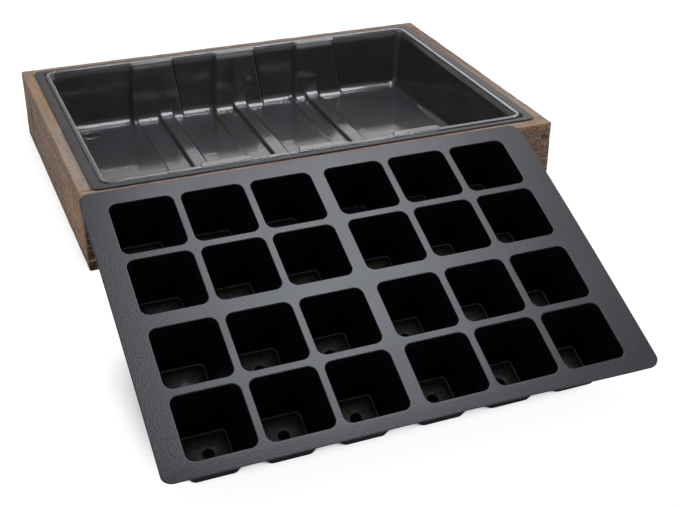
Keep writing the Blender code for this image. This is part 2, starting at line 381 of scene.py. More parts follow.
def grainNoise(tree, place, along, across, detail, rough, distortion=0.0):
    scaled = onVector(tree, "MULTIPLY", place, (1 / along, 1 / across, 1 / across))
    return addNode(tree, "TexNoise", None, {
        "Vector": scaled, "Scale": 1.0, "Detail": detail, "Roughness": rough,
        "Distortion": distortion}).outputs["Fac"]


def tinted(tree, place, colour, attribute, coat, kind="MIX"):
    # as far as an attribute of the surface says, broken up into patches
    paint, patches, span = coat
    share = ranged(tree, grainNoise(tree, place, *patches), *span)
    share = computed(tree, "MULTIPLY", attributeOf(tree, attribute), share)
    return mixed(tree, share, colour, paint, kind)


def flecked(tree, colour, flecks):
    # dark and pale fibres that the saw has torn up, fainter on the tops
    look = woodLook
    dark, darkSpan = look["darkFleck"]
    pale, paleSpan = look["paleFleck"]
    share = computed(tree, "MULTIPLY_ADD", attributeOf(tree, "paintedTopLight"),
                     look["topSpeckle"] - look["speckle"], look["speckle"])
    colour = mixed(tree, ranged(tree, flecks, *darkSpan, share, 0.0), colour, dark)
    return mixed(tree, ranged(tree, flecks, *paleSpan, 0.0, share), colour, pale)


def knotted(tree, colour, place, flecks, knot):
    # longer along the grain than across it, with an uneven edge
    along, up, width = knot
    away = onVector(tree, "SUBTRACT", place, (along, 0, up))
    flat = onVector(tree, "MULTIPLY", away, (0.7, 0, 1))
    far = addNode(tree, "VectorMath", {"operation": "LENGTH"}, {0: flat}).outputs["Value"]
    wobble = computed(tree, "MULTIPLY_ADD", flecks, width * 0.5, far)
    ring = toned(tree, ranged(tree, wobble, 0.0, width * 1.5), woodLook["knot"])
    return mixed(tree, ranged(tree, wobble, width * 0.7, width * 1.2, 0.9, 0.0), colour, ring)


def sawnPine(name, knots):
    # Rough-sawn pine under a thin brown stain: dull, streaked along the grain, fibres torn up by the saw,
    # paler and warmer where it has been rubbed. knots are (along, up, width) in mm on the board.
    look = woodLook
    made, tree = newMaterial(name)
    place = attributeOf(tree, "grainPlace", "Vector")
    fibres = grainNoise(tree, place, *look["fibres"])
    flecks = grainNoise(tree, place, *look["flecks"])
    colour = toned(tree, grainNoise(tree, place, *look["streaks"]), look["stain"])
    shown = {}
    for coat, (paint, patches, span) in look["coats"].items():
        shown[coat] = grainNoise(tree, place, *patches)
        colour = mixed(tree, ranged(tree, shown[coat], *span), colour, paint)
    bare = (toned(tree, fibres, look["bare"]), *look["barePatches"])
    # painted light: the tops painted paler and greyer, as lit from above
    colour = tinted(tree, place, colour, "paintedTopLight", look["top"])
    colour = tinted(tree, place, colour, "worn", bare)
    colour = flecked(tree, colour, flecks)
    for knot in knots:
        colour = knotted(tree, colour, place, flecks, knot)
    # painted shade: darker where the boards lie in shade, and towards the ground
    colour = tinted(tree, place, colour, "paintedShadeAndFoot", look["paintedShadeAndFoot"], "MULTIPLY")
    height = computed(tree, "MULTIPLY_ADD", shown["saw"], look["sawRelief"], fibres)
    height = computed(tree, "MULTIPLY_ADD", flecks, look["fleckRelief"], height)
    showSurface(tree, shaded(tree, "BsdfPrincipled", {
        "Base Color": colour, "Roughness": ranged(tree, fibres, 0.3, 0.7, *look["roughness"]),
        "IOR": 1.45, "Specular IOR Level": look["shine"],
        "Normal": bumped(tree, height, look["relief"], look["reliefDepth"])}))
    return made


clearTrayLook = {
    "colour": "#f1f2f3",
    "sheen": "#e8eaee",
    "passed": "#e8e8ea",  # what the sheet lets through of a lamp
    "roughness": 0.05, "shine": 0.36,
    "ripplePatch": 30,  # mm
    "ripple": 0.05, "rippleDepth": 0.6,
}


def clearPetSheet():
    # Vacuum-formed clear PET: thin and glossy, a grey tint that only its edges and bends show.
    # The lamps shine through it on the black tray
    look = clearTrayLook
    made, tree = newMaterial("vacuum-formed clear PET")
    ripple = patchy(tree, look["ripplePatch"], 2.0, 0.5)
    shader = shaded(tree, "BsdfPrincipled", {
        "Base Color": look["colour"], "Roughness": look["roughness"], "IOR": 1.57,
        "Specular IOR Level": look["shine"], "Specular Tint": look["sheen"], "Transmission Weight": 1.0,
        "Normal": bumped(tree, ripple, look["ripple"], look["rippleDepth"])})
    through = shaded(tree, "BsdfTransparent", {"Color": look["passed"]})
    showSurface(tree, mixedShader(tree, raysOf(tree, "Shadow"), shader, through))
    return made


# Haze, grain and dust patches are mm wide, detail and roughness of the noise
blackTrayLook = {  # an even satin, with the faintest orange-peel
    "tones": [(0.35, "#322f33"), (0.65, "#3f3c41")],
    "haze": (45, 4.0, 0.6),
    "grain": (2.5, 3.0, 0.55),
    "relief": 0.20,
    "roughness": (0.30, 0.42),  # in its most and least polished places
    "shine": 0.36,
    "sheen": "#ffffff",
}

insertLook = {  # a fine matt grain
    "haze": (60, 3.0, 0.55),
    "grain": (1.1, 2.0, 0.6),
    "relief": 0.22,
    "sheen": "#eef3ff",
    "dustAndHighlightPatches": (3, 4.0, 0.65),
    "dustAndHighlightSpan": (0.35, 0.60, 0.35, 1.0),  # where it is faintest and fullest, and how strong
}

insertFinishes = {
    # a soft blue-grey sheen
    "grained black styrene plate": {"colour": "#08080a", "shine": 0.5, "roughness": (0.25, 0.31)},
    # next to black where the sheet has been drawn thin, and pale where its dust-and-highlight attribute
    # says: pale dust, and a painted highlight along the bend at each cell's bottom
    "drawn black styrene cells with dust and painted highlight": {
        "colour": "#08080a", "shine": 0.13, "roughness": (0.40, 0.48), "dustAndHighlight": "#6e6963"},
    # dead matt, where it lay on the mould
    "matt black styrene underside": {"colour": "#19191b", "shine": 0.03, "roughness": (0.75, 0.85)},
}


def blackStyrene(name, look):
    # Vacuum-formed black high-impact polystyrene: from satin to matt, a little hazy, with a fine grain
    made, tree = newMaterial(name)
    haze = patchy(tree, *look["haze"])
    grain = patchy(tree, *look["grain"])
    colour = look.get("colour") or toned(tree, haze, look["tones"])
    if "dustAndHighlight" in look:
        # pale dust and painted highlight on the cell bottoms, as far as the attribute says
        uneven = ranged(tree, patchy(tree, *look["dustAndHighlightPatches"]), *look["dustAndHighlightSpan"], "LINEAR")
        amount = computed(tree, "MULTIPLY", attributeOf(tree, "dustAndHighlight"), uneven)
        colour = toned(tree, amount, [(0.0, colour), (1.0, look["dustAndHighlight"])])
    showSurface(tree, shaded(tree, "BsdfPrincipled", {
        "Base Color": colour, "Roughness": ranged(tree, haze, 0.3, 0.7, *look["roughness"], "LINEAR"),
        "IOR": 1.55, "Specular IOR Level": look["shine"], "Specular Tint": look["sheen"],
        "Normal": bumped(tree, grain, look["relief"], 0.3)}))
    return made


def wireNailSteel():
    # Bright wire nail gone dull and brown where the stain has dried on it
    made, tree = newMaterial("dull wire nail steel")
    patches = patchy(tree, 1.2, 3.0, 0.5)
    showSurface(tree, shaded(tree, "BsdfPrincipled", {
        "Base Color": toned(tree, patches, [(0.35, "#2b241f"), (0.65, "#5b5148")]),
        "Metallic": 0.8, "Roughness": 0.55}))
    return made


# Boards

boardLook = {
    "round": 1.3,  # mm, how far the saw and handling have rounded the edges
    "roundSpread": 0.8, "roundPatch": 16, "leastRound": 0.4,
    "edge": 2.2,  # mm from an edge where the surface's points lie close together
    "edgeStops": (0.0, 0.35, 0.7), "step": 3.0, "sawDepth": 0.22,
    "sawPatch": (1.9, 24, 24), "warp": 0.35, "warpPatch": (110, 40, 40),
    "warpShift": (7, 3, 1), "dents": 0.8, "dentPatch": 9,
    "dentFrom": 0.35,  # only the deepest part of its noise makes a dent
    "rubbedWidth": 3.0, "rubbedShare": 0.55,
    "rubbedFrom": 0.6,  # share of the height above which the edges are rubbed
    "rubbedFade": 10,
    "paintedTopLightFade": 1.2,  # mm
    "paintedTopLightFrom": 1.6,
    "footHeight": 9.0,  # mm, how far up from the ground the boards are darkened
    "footShare": 0.60,
    "recessRadius": 2.15,  # of the hollow that each nail's head stands in
    "recessLength": 3.0,
    "recessShift": 0.3,  # how far under the surface the middle of that length is
    "recessSides": 20,
}

# seed moves a board to its own part of the grain. Places on a board are mm along it, through it from its
# front or right side, and up. A patch is the low and the high end of each, its soft edge and its share.
# Each board's pair of top shares is how much paler its top is painted, as painted light from above, at the
# low and the high end.
# Patches that darken a board are painted shade.
boardsToMake = {
    "frontBoardSawn": {
        "node": "front_board", "seed": (0, 0, 0), "knots": [(396.2, 48.8, 4.5)], "paintedTopLightRange": (1.1, 1.1),
        "worn": [((0, 400), (-4, 6), (58, 66), 4.0, 0.75), ((-9, 60), (-9, 2), (-2, 52), 6.0, 0.9)],
        "paintedShadeAndFoot": [((-9, 60), (-9, 6), (-9, 58), 9.0, 1.0), ((330, 410), (-9, 2), (-9, 60), 9.0, 0.35)],
    },
    "backBoardSawn": {
        "node": "back_board", "seed": (900, 40, 10), "knots": [(120, 30, 6.0)], "paintedTopLightRange": (1.0, 0.6),
        "worn": [((0, 60), (8, 14), (58, 66), 5.0, 0.5)],
        "paintedShadeAndFoot": [],
    },
    "leftBoardSawn": {
        "node": "left_board", "seed": (1700, 80, 20), "knots": [(150, 24, 5.0)], "paintedTopLightRange": (1.3, 0.9),
        "worn": [((125, 256), (2.5, 8.0), (58, 66), 2.0, 1.0), ((180, 242), (2.5, 11.0), (58, 66), 2.5, 1.0),
                 ((-9, 80), (11, 20), (2, 44), 16.0, 0.7)],
        "paintedShadeAndFoot": [((226, 238), (11, 20), (-9, 50), 9.0, 0.6)],
    },
    "rightBoardSawn": {
        "node": "right_board", "seed": (2500, 120, 30), "knots": [(90, 20, 6.0)], "paintedTopLightRange": (1.1, 0.2),
        "worn": [((0, 256), (-4, 3), (58, 66), 3.0, 0.3)],
        "paintedShadeAndFoot": [((90, 240), (-9, 20), (50, 70), 60.0, 0.45)],
    },
}


def surfaceStops(length):
    # places along one side of a board, close together at its two ends
    edge = boardLook["edge"] * mm
    middle = max(2, round((length - 2 * edge) / (boardLook["step"] * mm)))
    ends = [edge * share for share in boardLook["edgeStops"]]
    inner = [edge + (length - 2 * edge) * i / middle for i in range(middle + 1)]
    return ends + inner + [length - place for place in reversed(ends)]


def boxSurface(dims):
    # points and faces of a box, its surface laid out in small squares
    axes = [surfaceStops(length) for length in dims]
    counts = [len(places) - 1 for places in axes]
    index = {}
    faces = []
    for first, second, third in ((0, 1, 2), (1, 2, 0), (2, 0, 1)):
        for level, a, b in product((0, counts[third]), range(counts[first]), range(counts[second])):
            quad = []
            for stepA, stepB in ((0, 0), (1, 0), (1, 1), (0, 1)):
                key = {first: a + stepA, second: b + stepB, third: level}
                quad.append(index.setdefault((key[0], key[1], key[2]), len(index)))
            faces.append(quad if level else quad[::-1])
    points = [Vector([axes[axis][step] for axis, step in enumerate(key)]) for key in index]
    return points, faces


def roughened(point, dims, spot):
    # where a surface point is once edges are rounded and sawing, warping and knocks have sunk it
    look = boardLook
    spread = look["roundSpread"] * noise.noise(spot / look["roundPatch"])
    radius = max(look["leastRound"], look["round"] + spread) * mm
    inner = Vector([min(max(c, radius), d - radius) for c, d in zip(point, dims)])
    away = point - inner
    normal = away.normalized()
    surface = point
    if sum(1 for c in away if abs(c) > 1e-9) > 1:
        surface = inner + normal * radius
    rip = noise.noise(Vector([c / size for c, size in zip(spot, look["sawPatch"])]))
    warped = [c / size + shift for c, size, shift in zip(spot, look["warpPatch"], look["warpShift"])]
    bow = noise.noise(Vector(warped))
    dent = max(0.0, noise.noise(spot / look["dentPatch"]) - look["dentFrom"])
    sink = look["sawDepth"] * (0.5 + 0.5 * rip) + look["warp"] * (0.5 + 0.5 * bow) + look["dents"] * dent
    return surface - normal * sink * mm


def patchShare(share, place, patches):
    for along, through, up, soft, most in patches:
        inside = 1.0
        for value, (low, high) in zip(place, (along, through, up)):
            inside *= smoothStep((value - low) / soft + 0.5) * smoothStep((high - value) / soft + 0.5)
        share = max(share, most * inside)
    return share


def sharesAt(place, dims, board):
    # how far a board is rubbed bare, darkened by painted shade and towards the ground, and painted paler on
    # top as lit from above, at a place on it, in mm
    look = boardLook
    gaps = sorted(min(c, d / mm - c) for c, d in zip(place, dims))
    high = smoothStep((place.z - dims.z / mm * look["rubbedFrom"]) / look["rubbedFade"])
    edge = max(0.0, 1 - gaps[1] / look["rubbedWidth"])
    foot = look["footShare"] * smoothStep(1 - place.z / look["footHeight"])
    facingUp = smoothStep((place.z - dims.z / mm) / look["paintedTopLightFade"] + look["paintedTopLightFrom"])
    start, end = board["paintedTopLightRange"]
    return {
        "worn": patchShare(look["rubbedShare"] * high * edge, place, board["worn"]),
        # painted shade, and darker towards the ground
        "paintedShadeAndFoot": patchShare(foot, place, board["paintedShadeAndFoot"]),
        # painted light on the tops, as lit from above
        "paintedTopLight": facingUp * (start + (end - start) * place.x * mm / dims.x),
    }


def cutNailRecesses(piece, node):
    # the wood stops just short of each nail's head, so the heads show
    look = boardLook
    side = node.split("_")[0]
    for nodeName in [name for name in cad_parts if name.startswith("nail_" + side)]:
        low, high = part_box(nodeName)
        centre = (low + high) / 2
        shift = look["recessShift"] * mm
        y = low.y + shift if node == "front_board" else high.y - shift
        bpy.ops.mesh.primitive_cylinder_add(vertices=look["recessSides"], radius=look["recessRadius"] * mm,
                                            depth=look["recessLength"] * mm)
        cutter = bpy.context.object
        turn = Matrix.Rotation(math.pi / 2, 4, "X")
        cutter.matrix_world = Matrix.Translation((centre.x, y, centre.z)) @ turn
        cut = piece.modifiers.new("nail recess", "BOOLEAN")
        cut.operation = "DIFFERENCE"
        cut.object = cutter
        applyModifiers(piece)
        bpy.data.objects.remove(cutter)


def sawnBoard(name, board):
    low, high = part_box(board["node"])
    size = high - low
    sideways = size.y > size.x
    dims, turn, origin = size, Matrix.Identity(3), low
    if sideways:
        dims = Vector((size.y, size.x, size.z))
        turn = Matrix(((0, -1, 0), (1, 0, 0), (0, 0, 1)))
        origin = Vector((high.x, low.y, low.z))
    seed = Vector(board["seed"])
    points, faces = boxSurface(dims)
    placed = [turn @ roughened(point, dims, point / mm + seed) + origin for point in points]
    piece = meshPiece(name, placed, faces)
    if not sideways:
        cutNailRecesses(piece, board["node"])
    onBoard = [turn.transposed() @ (vert.co - origin) / mm for vert in piece.data.vertices]
    grain = piece.data.attributes.new("grainPlace", "FLOAT_VECTOR", "POINT")
    grain.data.foreach_set("vector", [c for place in onBoard for c in place + seed])
    shares = [sharesAt(place, dims, board) for place in onBoard]
    for shareName in shares[0]:
        values = [share[shareName] for share in shares]
        piece.data.attributes.new(shareName, "FLOAT", "POINT").data.foreach_set("value", values)
    knots = [(along + seed.x, up + seed.z, width) for along, up, width in board["knots"]]
    giveFinish(piece, sawnPine(name + " rough-sawn stained pine", knots))
    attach(piece, "wooden_frame")
    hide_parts(board["node"])


for boardName, boardPlan in boardsToMake.items():
    sawnBoard(boardName, boardPlan)
print("four sawn boards made")

nailSteel = wireNailSteel()
for nodeName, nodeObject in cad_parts.items():
    if nodeName.startswith("nail_"):
        nodeObject.data.materials.clear()
        nodeObject.data.materials.append(nailSteel)
print("nails finished")


# Formed trays: rings of points down from the flange to the foot of the wall, and a floor of straight rows

ribs = {
    "stations": (-81.5, 0.0, 83.0),  # mm from the middle, where the long walls stand further in
    "stationTop": 43.0, "stationFloor": 52.0, "inset": 6.0, "insetRamp": 2.4,
    "insetStart": 0.12,  # share of the ramp that lies outside a station's width
    "bands": ((-103.0, -72.0), (-29.0, 2.0), (52.5, 78.0)),  # low steps in the floor, left of each bar
    "bandHeight": 0.7, "bandRamp": 1.4, "bars": (-73.8, 0.5, 76.0), "barWidth": 16.1,
    "barHeight": 4.0, "barRamp": 1.8,
}

traySizes = {
    "mouth": (182.5, 126.4),  # half sizes of the black tray's mouth, mm
    "mouthRadius": 5.5, "shelfDrop": 2.5, "shelfWidth": 2.4, "flange": (190.0, 132.0),
    "flangeRadius": 6.0, "linerThickness": 1.0, "clearThickness": 0.8, "nest": 1.3,
    "rimGap": 0.9, "rimHeight": 3.3, "rimRound": 1.2, "rimTop": 1.4,
    "ledgeDrop": 2.0,  # how far under the crown the slanted band begins
    "ledgeHeight": 4.4, "ledgeWidth": 2.0, "stationLedge": 1.0, "draft": 4.8,
    "wallRadius": 6.0, "rimRadius": 10.5, "floorHeight": 9.0, "fillet": 7.6,
    "footRounding": 0.4,  # how much of a ring's step inwards its corners lose
    "leastRadius": 2,
    "seat": 0.3,  # gap between one sheet and what it lies on
    "rimFoot": 1.0,
    "liftMargin": 0.3,  # how much of the wall rises with the floor
    "crownStops": (0.2, 0.5, 0.8), "ledgeBend": (0.1, 0.3), "mouthBend": 0.8,
    "shelfBend": 0.5,
    # rings of the flange: how far inside its outline, how much less round, how far under its top
    "flangeEdge": ((0, 0, 0.4), (0.15, 0.15, 0.15), (0.4, 0.4, 0), (3, 0.5, 0)),
    "sideStep": 0.7,  # mm between points of the long sides, where walls step and the floor rises
    "sideCount": 174,  # how many there are on either side of the middle
    "endSteps": 6, "cornerSteps": 12, "crossSteps": 24, "wallSteps": 9, "filletSteps": 7, "rimSteps": 6,
    "ledgeSteps": 6,
}


def stationShare(x, width):
    away = min(abs(x - place) for place in ribs["stations"])
    return smoothStep((width / 2 - away) / ribs["insetRamp"] + ribs["insetStart"])


def floorLift(x, narrowing):
    toBand = max(min(x - low, high - x) for low, high in ribs["bands"])
    toBar = ribs["barWidth"] / 2 - min(abs(x - place) for place in ribs["bars"])
    band = smoothStep((toBand - narrowing / 2) / ribs["bandRamp"])
    bar = smoothStep((toBar - narrowing / 2) / ribs["barRamp"])
    return max(band * ribs["bandHeight"], bar * ribs["barHeight"])


def ringPoints(halfX, halfY, radius, z, inset, width):
    # one level: right side, back, left side, front, each corner an arc. mm
    t = traySizes
    steps, cross, ends, count = t["cornerSteps"], t["crossSteps"], t["endSteps"], t["sideCount"]
    places = [round(i * t["sideStep"], 3) for i in range(-count, count + 1)]
    end = halfX - radius
    straight = halfY - radius
    reach = [places[-1] + (end - places[-1]) * i / ends for i in range(1, ends)]
    xs = [-x for x in reversed(reach)] + places + reach
    ys = [-straight + 2 * straight * step / cross for step in range(1, cross)]
    back = [(x, halfY - inset * stationShare(x, width)) for x in xs]
    points = arcRound(end, -straight, radius, -1, steps) + [(halfX, y) for y in ys]
    points += arcRound(end, straight, radius, 0, steps) + back[::-1]
    points += arcRound(-end, straight, radius, 1, steps) + [(-halfX, -y) for y in ys]
    points += arcRound(-end, -straight, radius, 2, steps) + [(x, -y) for x, y in back]
    return [(x, y, z) for x, y in points]


def floorRows(points, base, count):
    # rows of the floor's points from the front wall to the back wall, the rightmost first. It adds those
    # between the walls to points
    steps = traySizes["cornerSteps"]
    cross = traySizes["crossSteps"]
    places = range(-steps - 1, count // 2 - steps - cross)
    rows = []
    for place in places:
        front = base + (count - 1 - place) % count
        back = base + 2 * steps + cross + 1 + place
        if place == places[0]:
            inner = range(front + 1, front + cross)
        elif place == places[-1]:
            inner = range(back + cross - 1, back, -1)
        else:
            inner = range(len(points), len(points) + cross - 1)
            a, b = Vector(points[front]), Vector(points[back])
            points += [tuple(a.lerp(b, s / cross)) for s in range(1, cross)]
        rows.append([front, *inner, back])
    return rows


def formedTray(name, rings, floorZ, narrowing, thickness):
    # rings are (halfX, halfY, radius, z, inset, width) from the flange's edge inwards and down, mm
    loops = [ringPoints(*ring) for ring in rings]
    count = len(loops[0])
    points = [p for loop in loops for p in loop]
    faces = ringedFaces(len(loops), count)
    rows = floorRows(points, (len(loops) - 1) * count, count)
    for right, left in zip(rows, rows[1:]):
        for s in range(traySizes["crossSteps"]):
            faces.append((right[s], right[s + 1], left[s + 1], left[s]))
    top = floorZ + traySizes["fillet"] + traySizes["liftMargin"]
    lifted = []
    for x, y, z in points:
        if z < top:
            z += floorLift(x, narrowing)
        lifted.append((x * mm, y * mm, z * mm))
    piece = meshPiece(name, lifted, faces)
    piece.matrix_world = Matrix.Translation(frameCentre)
    thicken(piece, thickness)
    return piece


def curveDown(startInset, startZ, radius, steps, hollow=False):
    # quarter circle in (inset, z) that rounds an outer edge downwards, or a hollow one into the flat
    turns = quarterTurn(steps)
    if hollow:
        turns = [(rest, sine) for sine, rest in turns]
    return [(startInset + radius * along, startZ - radius * down) for along, down in turns]


def inMouth(inset):
    # half sizes of a ring that lies inset inside the black tray's mouth, mm
    mouthX, mouthY = traySizes["mouth"]
    return mouthX - inset, mouthY - inset


def slopeRings(top, foot, steps, radius):
    # rings from under top to foot, each (inset in the mouth, z, how far the stations stand in, their width)
    rings = []
    for step in range(1, steps + 1):
        inset, *rest = between(top, foot, step / steps)
        rings.append((*inMouth(inset), radius, *rest))
    return rings


def wallAndFloor(top, foot, radius):
    # rings down the wall and round the bend to the floor
    t = traySizes
    bend = t["fillet"]
    inset, z, *station = foot
    rings = slopeRings(top, (inset, z + bend, *station), t["wallSteps"], radius)
    for along, rise in curveDown(0, bend, bend, t["filletSteps"], True)[1:]:
        corner = max(radius - along * t["footRounding"], t["leastRadius"])
        rings.append((*inMouth(inset + along), corner, z + rise, *station))
    return rings


def rimProfile(foot):
    # (inset, z, share of the stations) over the clear tray's rim, from its foot to its slanted band
    t = traySizes
    r = t["rimRound"]
    gap = t["rimGap"]
    steps = t["rimSteps"]
    top = foot + t["rimHeight"]
    profile = [(gap, foot, 0.0), (gap, foot + t["rimFoot"], 0.0)]
    profile += [(gap + r * rest, top - r + r * sine, 0.0) for sine, rest in quarterTurn(steps)]
    profile += [(gap + r + t["rimTop"] * share, top, share) for share in t["crownStops"]]
    crown = gap + r + t["rimTop"]
    profile += [(along, z, 1.0) for along, z in curveDown(crown, top, r, steps)]
    ledgeZ = top - t["ledgeDrop"]
    profile.append((crown + r, ledgeZ + t["ledgeBend"][1], 1.0))
    profile.append((crown + r + t["ledgeBend"][0], ledgeZ, 1.0))
    return profile


def buildClearTray():
    t = traySizes
    profile = rimProfile(woodTop / mm + t["seat"] + t["linerThickness"] - t["shelfDrop"] + t["seat"])
    inset, width = ribs["inset"], ribs["stationTop"]
    rings = []
    for along, z, share in profile:
        radius = max(t["wallRadius"], t["rimRadius"] - along + t["rimGap"])
        rings.append((*inMouth(along), radius, z, inset * share, width))
    start, ledgeZ = profile[-1][:2]
    ledge = profile[-2][0] + t["ledgeWidth"]
    bandFoot = (ledge, ledgeZ - t["ledgeHeight"], inset - t["ledgeWidth"] + t["stationLedge"], width)
    wallFoot = (ledge + t["draft"], t["floorHeight"], inset, ribs["stationFloor"])
    rings += slopeRings((start, ledgeZ, inset, width), bandFoot, t["ledgeSteps"], t["wallRadius"])
    rings += wallAndFloor(bandFoot, wallFoot, t["wallRadius"])
    piece = formedTray("clearTrayFormed", rings, t["floorHeight"], 0, t["clearThickness"])
    giveFinish(piece, clearPetSheet())
    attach(piece, "clear_tray")
    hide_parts("clear_tray")


floorDisc = {  # the low ring formed in the floor
    "middle": (-150.0, 92.5),  # mm, in the back left of the clear tray's floor
    # (radius, z) over the floor
    "profile": [(0.0, 0.12), (3.2, 0.12), (5.8, 0.14), (6.5, 0.36), (7.5, 0.98), (8.0, 1.12), (8.5, 0.92),
                (8.8, 0.40), (8.9, 0.03), (6.0, 0.03), (3.0, 0.03), (0.0, 0.03)],
    "sides": 48,
}


def buildFloorDisc():
    middleX, middleY = floorDisc["middle"]
    profile = floorDisc["profile"]
    steps = floorDisc["sides"]
    turns = [2 * math.pi * step / steps for step in range(steps)]
    points = [((middleX + radius * math.cos(turn)) * mm, (middleY + radius * math.sin(turn)) * mm,
               (traySizes["floorHeight"] + z) * mm) for radius, z in profile for turn in turns]
    faces = [(a, d, c, b) for a, b, c, d in ringedFaces(len(profile), steps)]
    piece = meshPiece("clearTrayFloorDisc", points, faces)
    bm = bmesh.new()
    bm.from_mesh(piece.data)
    bmesh.ops.remove_doubles(bm, verts=bm.verts, dist=0.001 * mm)
    bm.to_mesh(piece.data)
    bm.free()
    piece.matrix_world = Matrix.Translation(frameCentre)
    giveFinish(piece, bpy.data.materials["vacuum-formed clear PET"])
    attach(piece, "clear_tray")


def buildLiner():
    t = traySizes
    flangeX, flangeY = t["flange"]
    top = woodTop / mm + t["seat"] + t["linerThickness"]
    shelf = top - t["shelfDrop"]
    inset, width = ribs["inset"], ribs["stationTop"] - 2 * t["nest"]
    radius = t["wallRadius"] + t["nest"]
    rings = []
    for along, rounding, drop in t["flangeEdge"]:
        rings.append((flangeX - along, flangeY - along, t["flangeRadius"] - rounding, top - drop, 0, width))
    for along, z in curveDown(-t["mouthBend"], top, t["mouthBend"], 5):
        rings.append((*inMouth(along), t["mouthRadius"], z, 0, width))
    for along, z in curveDown(0, shelf + t["shelfBend"], t["shelfBend"], 3, True):
        rings.append((*inMouth(along), t["mouthRadius"] + 0.6 * along, z, 0, width))
    rings.append((*inMouth(t["shelfWidth"]), radius, shelf, inset, width))
    foot = t["rimGap"] + 2 * t["rimRound"] + t["rimTop"] + t["ledgeWidth"] + t["draft"] - t["nest"]
    floorZ = t["floorHeight"] - t["clearThickness"] - t["seat"]
    rings += wallAndFloor((t["shelfWidth"], shelf, inset, width),
                          (foot, floorZ, inset, ribs["stationFloor"] - 2 * t["nest"]), radius)
    piece = formedTray("blackTrayFormed", rings, floorZ, 2 * t["nest"], t["linerThickness"])
    giveFinish(piece, blackStyrene("vacuum-formed black styrene", blackTrayLook))
    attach(piece, "black_tray")
    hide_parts("black_tray")


buildLiner()
buildClearTray()
buildFloorDisc()
print("black tray and clear tray formed")


# Cell insert, made flat with its top at zero, bowed, and then tilted into place

insertSizes = {
    "columns": 6, "rows": 4, "pitch": 47.5,
    "middleColumn": 4.9,  # extra gap between the third and the fourth column, mm
    "middleRow": 5.3, "mouth": 43.3, "mouthRadius": 5.9,
    "mouthMargin": 0.35,  # how far outside a mouth's edge a ring of points lies
    "lip": 0.55,  # radius of the bend from the plate down into a cell
    "tileMargin": 2.5,  # plate round the outermost mouths that is laid out with their cells
    "depth": 39.8, "bottom": 29.6, "bottomRadius": 3.5, "fillet": 1.35,
    # (radius, rise) of the low ring round the drain hole, down to the hole's edge
    "holeRings": ((6.1, 0.0), (5.6, 0.35), (4.1, 0.35), (3.7, 0.1)),
    # how pale a cell's last levels are painted: a painted highlight along the bend at its bottom, then pale
    # dust on the ring round the drain hole, fading across the flat
    "dustAndHighlightShares": (0.0, 0.3, 1.0, 0.4, 0.0, 0.5, 0.8, 0.6, 0.2), "cellsShiftLeft": 1.5,
    "endMargin": 17.6, "sideMargin": 12.0,
    "frontTrim": (2.8, 0.5),  # how much less there is in front, at the left and the right end
    "trimFrom": 20,  # mm right of the middle, where the trim begins to change
    "cornerStretch": 2.4,  # how far its front right corner has been pulled out
    "cellsFrom": 1.2,  # the cells' finish begins this many lips under the plate
    "cornerRadius": 8.0, "edgeRound": 0.4, "thickness": 0.9,
    "bow": 2.7,  # how far the long edges hang below the middle
    "tilt": 24.0, "shiftLeft": 57.5,
    "arcSteps": 8, "sideSteps": 6, "bendSteps": 5, "wallSteps": 7, "cornerSteps": 12,
}


cornerSigns = ((1, 1), (-1, 1), (-1, -1), (1, -1))  # counter-clockwise from the back right


def cellPlaces(count, gap):
    fromMiddle = [cell - (count - 1) / 2 for cell in range(count)]
    return [cell * insertSizes["pitch"] + math.copysign(gap / 2, cell) for cell in fromMiddle]


def roundedSquare(size, radius):
    # points round a square, counter-clockwise from the right side: each arc, then the side after it
    side = insertSizes["sideSteps"]
    reach = size / 2 - radius
    arcs = [arcRound(signX * reach, signY * reach, radius, quarter, insertSizes["arcSteps"])
            for quarter, (signX, signY) in enumerate(cornerSigns)]
    points = []
    for arc, nextArc in zip(arcs, arcs[1:] + arcs[:1]):
        points += arc
        for step in range(1, side):
            points.append(between(arc[-1], nextArc[0], step / side))
    return points


def roundHole(radius):
    # as many points as a rounded square has, each in line with one of them
    turns = [math.atan2(y, x) for x, y in roundedSquare(2.0, 0.35)]
    return [(radius * math.cos(turn), radius * math.sin(turn)) for turn in turns]


def tileEdge(x, y, tile):
    # where a point of a mouth's edge meets its tile, (left, right, front, back) from the cell's middle
    left, right, front, back = tile
    straight = insertSizes["mouth"] / 2 - insertSizes["mouthRadius"]
    edgeX = right if x > 0 else left
    edgeY = back if y > 0 else front
    if abs(x) > straight and abs(y) > straight:
        turn = math.degrees(math.atan2(abs(y) - straight, abs(x) - straight))
        share = min(turn, 90 - turn) / 45
        if turn <= 45:
            return edgeX, math.copysign(straight + share * (abs(edgeY) - straight), y)
        return math.copysign(straight + share * (abs(edgeX) - straight), x), edgeY
    if abs(x) > abs(y):
        return edgeX, y
    return x, edgeY


def cellProfile():
    # (size, radius, z) of each level from the mouth's edge down to the flat of the bottom
    s = insertSizes
    lip = s["lip"]
    fillet = s["fillet"]
    levels = []
    for sine, rest in quarterTurn(s["bendSteps"]):
        grow = lip * (1 - sine)
        levels.append((s["mouth"] - 2 * lip + 2 * grow, s["mouthRadius"] - lip + grow, -lip * rest))
    top = levels[-1]
    foot = (s["bottom"], s["bottomRadius"], fillet - s["depth"])
    for step in range(1, s["wallSteps"] + 1):
        levels.append(between(top, foot, step / s["wallSteps"]))
    for sine, rest in quarterTurn(s["bendSteps"])[1:]:
        shrink = fillet * rest
        levels.append((s["bottom"] - 2 * shrink, s["bottomRadius"] - shrink * 0.8, foot[2] - fillet * sine))
    return levels


